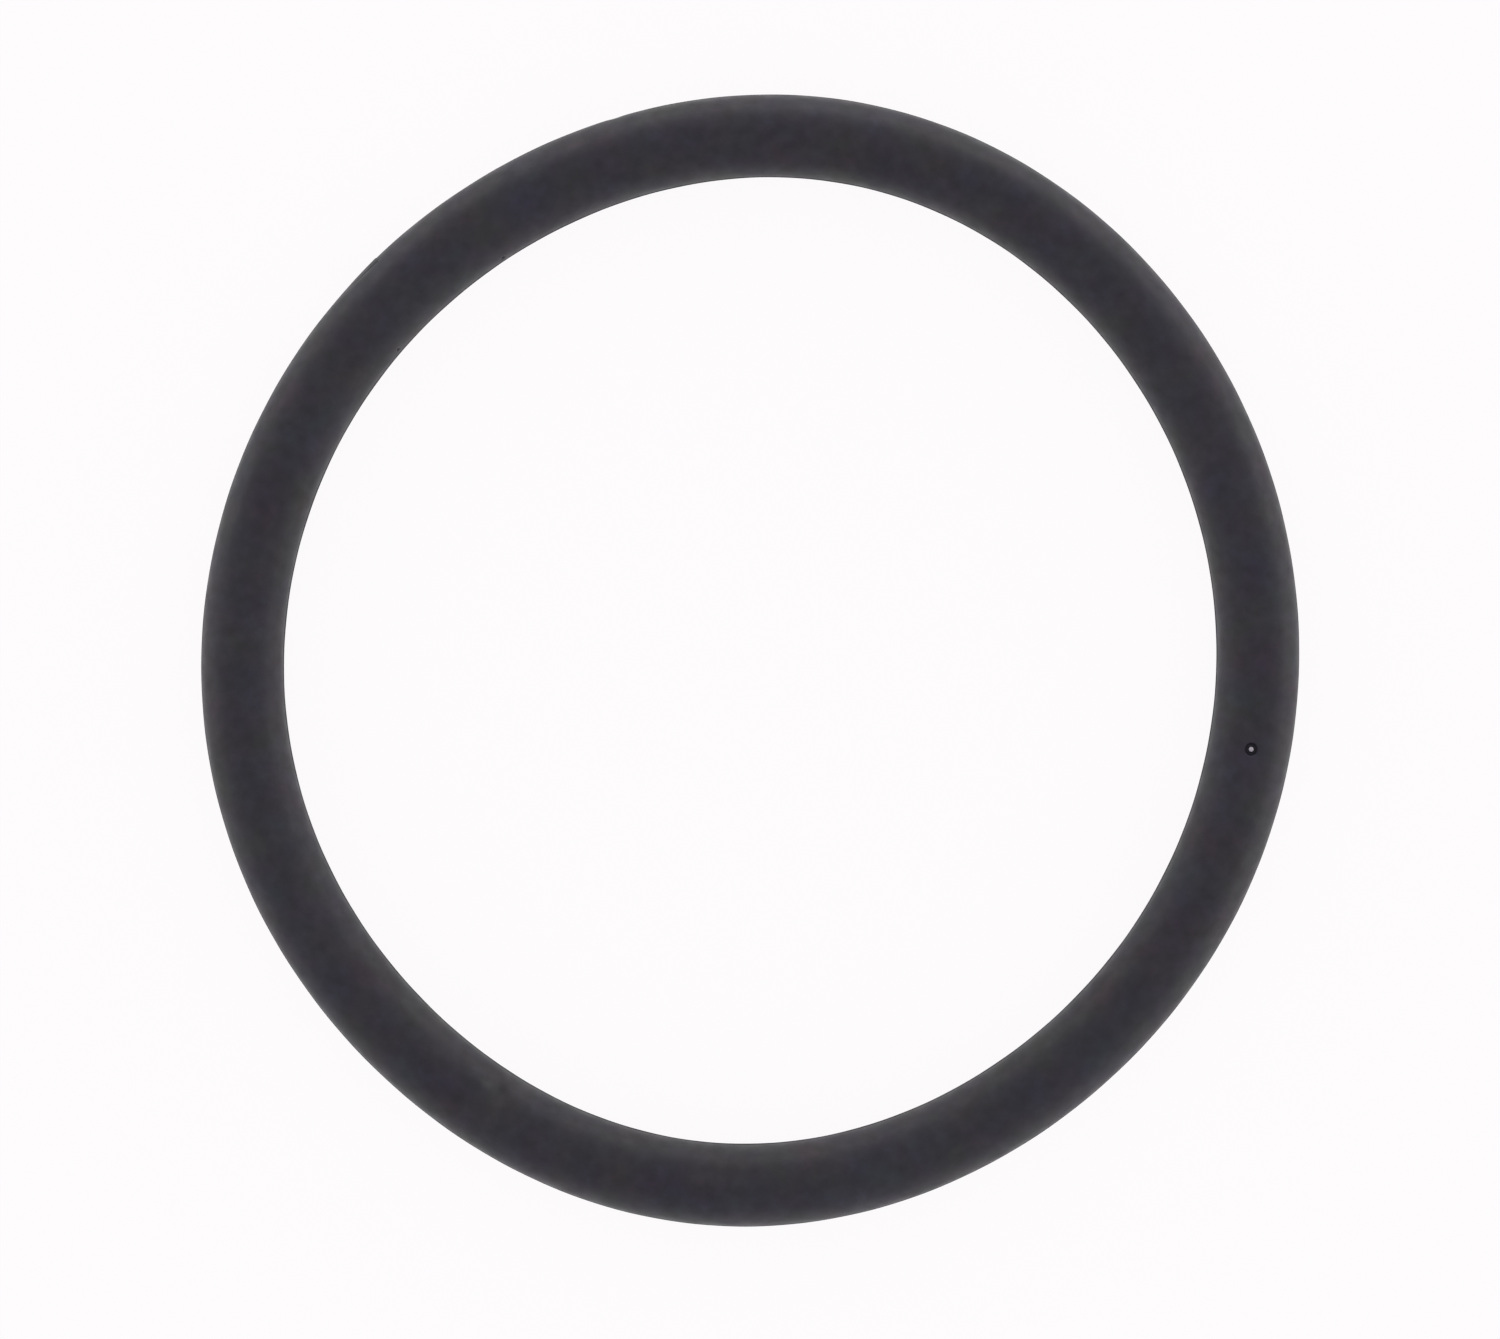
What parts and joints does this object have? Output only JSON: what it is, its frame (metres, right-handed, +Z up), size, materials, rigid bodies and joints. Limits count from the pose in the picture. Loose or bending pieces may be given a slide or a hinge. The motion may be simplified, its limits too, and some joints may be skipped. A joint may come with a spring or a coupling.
{
  "type": "rubber o-ring",
  "caption": "Round-section rubber sealing ring, lying loose and slightly oval, with a fine mould line round its inside and outside; it is squeezed in a groove to seal a shaft, bore or face.",
  "frame": {"origin": "centre of the ring, on the surface that it lies on", "axes": "+Z up along the ring's axis, +Y along the longer diameter of the slightly oval ring, +X along the shorter one"},
  "size_m": [0.0472, 0.0488, 0.0035],
  "materials": {
    "rubber": "matte"
  },
  "bodies": {
    "root": {"o_ring": "rubber"}
  },
  "joints": []
}
